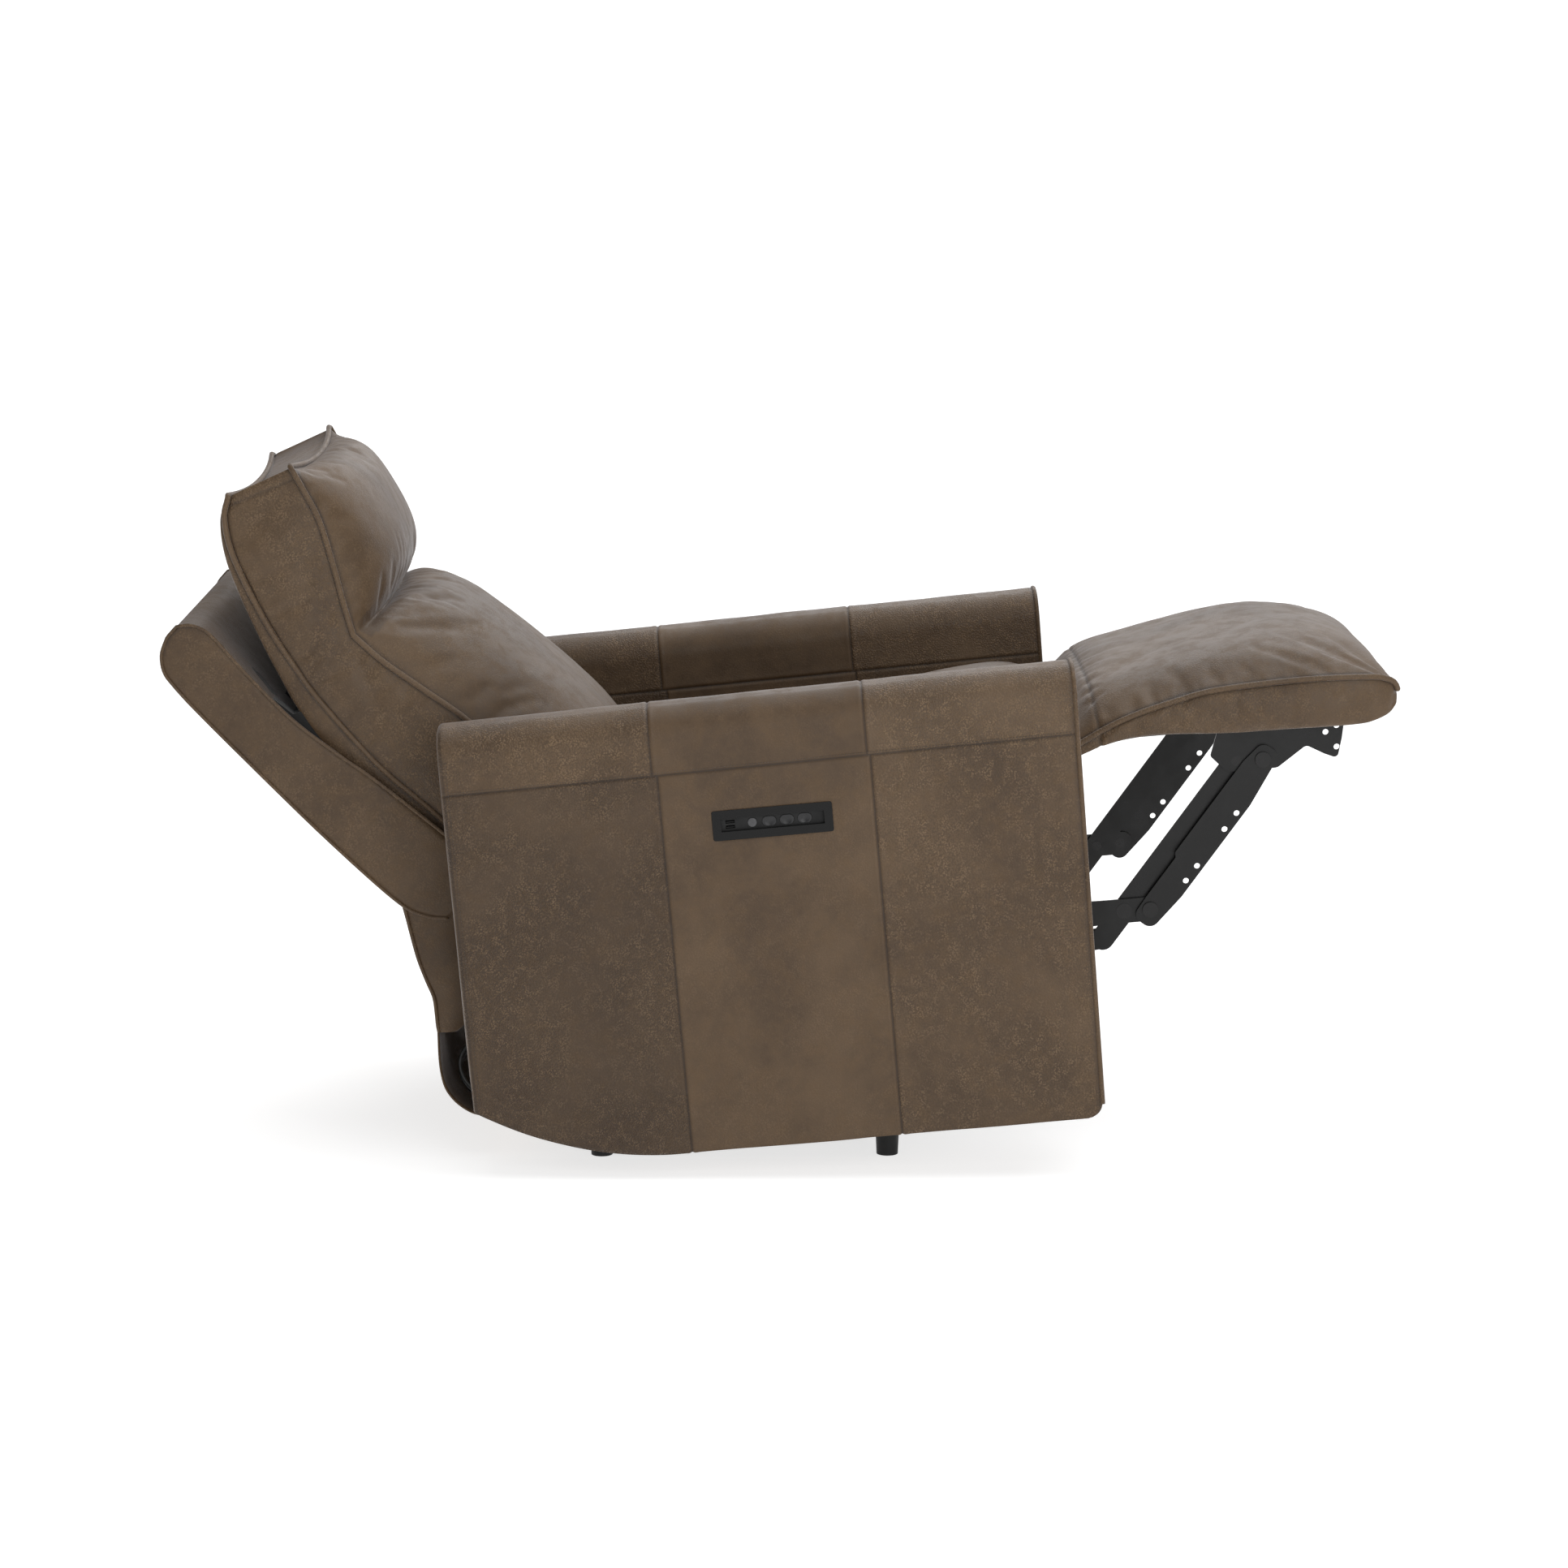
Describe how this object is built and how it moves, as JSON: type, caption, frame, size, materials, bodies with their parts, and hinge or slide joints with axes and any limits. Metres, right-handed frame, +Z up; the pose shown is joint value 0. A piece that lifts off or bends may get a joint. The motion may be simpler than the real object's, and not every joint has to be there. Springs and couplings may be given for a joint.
{
  "type": "power recliner armchair",
  "caption": "Leather power recliner with padded arms, folding footrest on steel links, reclining back, tilting headrest and a side control panel, stored reclined.",
  "frame": {"origin": "bottom centre of the bounding box in the stored reclined pose, on the floor", "axes": "+Z up, -Y the way the sitter faces, +X to the sitter's left; the control panel is on -X"},
  "size_m": [0.86, 1.7239, 0.9675],
  "materials": {
    "brown_leather": "distressed nubuck, fine pebble grain, soft sheen",
    "black_steel": "satin black powder coat",
    "dark_pins": "blackened, slightly glossy",
    "frame_wood": "raw plywood and hardwood",
    "webbing": "woven elastic webbing",
    "gloss_black": "polished bezel",
    "matte_black": "fine satin",
    "button_chrome": "smoked mirror finish",
    "lead_rubber": "matt cable jacket"
  },
  "bodies": {
    "base": {"base_frame": "black_steel", "base_feet": "matte_black", "tilt_stands": "black_steel", "tilt_drive_housing": "black_steel"},
    "tilt_drive_rod": {"tilt_drive_rod": "dark_pins"},
    "chair_body": {"arm_mounting_blocks": "frame_wood", "back_hinge_brackets": "black_steel", "back_hinge_pins": "dark_pins", "control_bezel": "gloss_black", "control_box": "matte_black", "control_tray": "matte_black", "drive_cross_bars": "black_steel", "footrest_drive_housing": "black_steel", "left_arm_cover": "brown_leather", "left_arm_frame": "frame_wood", "link_frame_pins": "dark_pins", "mechanism_side_plates": "black_steel", "power_supply": "matte_black", "rear_skirt": "brown_leather", "recline_drive_housing": "black_steel", "right_arm_cover": "brown_leather", "right_arm_frame": "frame_wood", "seat_box_rails": "frame_wood", "seat_cushion": "brown_leather", "seat_webbing": "webbing", "side_plate_spacers": "black_steel", "supply_lead_lower": "lead_rubber", "supply_lead_upper": "lead_rubber", "tilt_cross_tube": "black_steel", "usb_port": "matte_black"},
    "footrest_drive_rod": {"footrest_drive_rod": "dark_pins"},
    "recline_drive_rod": {"recline_drive_rod": "dark_pins"},
    "lower_links": {"lower_links": "black_steel", "lower_link_rivets": "dark_pins", "footrest_cross_tube": "black_steel"},
    "support_links": {"support_links": "black_steel"},
    "guide_links": {"guide_links": "black_steel"},
    "rear_links": {"rear_links": "black_steel"},
    "footrest": {"footrest_brackets": "black_steel", "footrest_rivets": "dark_pins", "footrest_springs": "dark_pins", "footrest_board": "frame_wood", "footrest_pad": "brown_leather"},
    "back": {"back_frame": "frame_wood", "back_hinge_arms": "black_steel", "recline_cross_tube": "black_steel", "back_webbing": "webbing", "back_shell": "brown_leather", "back_cushion": "brown_leather", "headrest_hinge": "black_steel", "headrest_drive_housing": "black_steel"},
    "headrest": {"headrest_frame": "black_steel", "headrest_pillow": "brown_leather"},
    "headrest_drive_rod": {"headrest_drive_rod": "dark_pins"},
    "home_button": {"home_button": "button_chrome"},
    "footrest_button": {"footrest_button": "matte_black"},
    "recline_button": {"recline_button": "matte_black"},
    "headrest_button": {"headrest_button": "matte_black"}
  },
  "joints": [
    {"name": "body_tilt", "type": "hinge", "parent": "base", "child": "chair_body", "pos_m": [0, 0.0798, 0.33], "axis": [1, 0, 0], "range_deg": [0, 5]},
    {"name": "tilt_drive", "type": "slide", "parent": "base", "child": "tilt_drive_rod", "axis": [0, -1, 0], "range_m": [-0.021, 0]},
    {"name": "footrest_swing", "type": "hinge", "parent": "chair_body", "child": "lower_links", "pos_m": [0, -0.3074, 0.32171], "axis": [1, 0, 0], "range_deg": [0, 90]},
    {"name": "support_link_pivot", "type": "hinge", "parent": "lower_links", "child": "support_links", "pos_m": [0, -0.50365, 0.33888], "axis": [1, 0, 0], "range_deg": [-116, 0]},
    {"name": "guide_link_pivot", "type": "hinge", "parent": "lower_links", "child": "guide_links", "pos_m": [0, -0.46779, 0.33575], "axis": [1, 0, 0], "range_deg": [-116, 0]},
    {"name": "footrest_pivot", "type": "hinge", "parent": "support_links", "child": "footrest", "pos_m": [0, -0.65691, 0.55138], "axis": [1, 0, 0], "range_deg": [0, 116]},
    {"name": "rear_link_pivot", "type": "hinge", "parent": "chair_body", "child": "rear_links", "pos_m": [0, -0.28731, 0.26445], "axis": [1, 0, 0], "range_deg": [0, 94]},
    {"name": "footrest_drive", "type": "slide", "parent": "chair_body", "child": "footrest_drive_rod", "axis": [0, -0.9962, 0.0872], "range_m": [-0.065, 0]},
    {"name": "back_recline", "type": "hinge", "parent": "chair_body", "child": "back", "pos_m": [0, 0.22711, 0.40746], "axis": [1, 0, 0], "range_deg": [0, 30]},
    {"name": "recline_drive", "type": "slide", "parent": "chair_body", "child": "recline_drive_rod", "axis": [0, -0.9962, 0.0872], "range_m": [-0.053, 0]},
    {"name": "headrest_tilt", "type": "hinge", "parent": "back", "child": "headrest", "pos_m": [0, 0.64289, 0.68747], "axis": [1, 0, 0], "range_deg": [-25, 0]},
    {"name": "headrest_drive", "type": "slide", "parent": "back", "child": "headrest_drive_rod", "axis": [0, 0.7071, 0.7071], "range_m": [-0.0225, 0]},
    {"name": "home_button_press", "type": "slide", "parent": "chair_body", "child": "home_button", "axis": [1, 0, 0], "range_m": [0, 0.0012], "stiffness_N_per_m": 900},
    {"name": "footrest_button_press", "type": "slide", "parent": "chair_body", "child": "footrest_button", "axis": [1, 0, 0], "range_m": [0, 0.0012], "stiffness_N_per_m": 900},
    {"name": "recline_button_press", "type": "slide", "parent": "chair_body", "child": "recline_button", "axis": [1, 0, 0], "range_m": [0, 0.0012], "stiffness_N_per_m": 900},
    {"name": "headrest_button_press", "type": "slide", "parent": "chair_body", "child": "headrest_button", "axis": [1, 0, 0], "range_m": [0, 0.0012], "stiffness_N_per_m": 900}
  ],
  "couplings": [
    {"joint": "tilt_drive", "follows": "body_tilt", "m_per_rad": -0.22971},
    {"joint": "support_link_pivot", "follows": "footrest_swing", "ratio": -1.2811},
    {"joint": "guide_link_pivot", "follows": "footrest_swing", "ratio": -1.2811},
    {"joint": "footrest_pivot", "follows": "footrest_swing", "ratio": 1.2811},
    {"joint": "rear_link_pivot", "follows": "footrest_swing", "ratio": 1.04},
    {"joint": "footrest_drive", "follows": "footrest_swing", "m_per_rad": -0.04051},
    {"joint": "recline_drive", "follows": "back_recline", "m_per_rad": -0.09886},
    {"joint": "headrest_drive", "follows": "headrest_tilt", "m_per_rad": 0.0496}
  ]
}
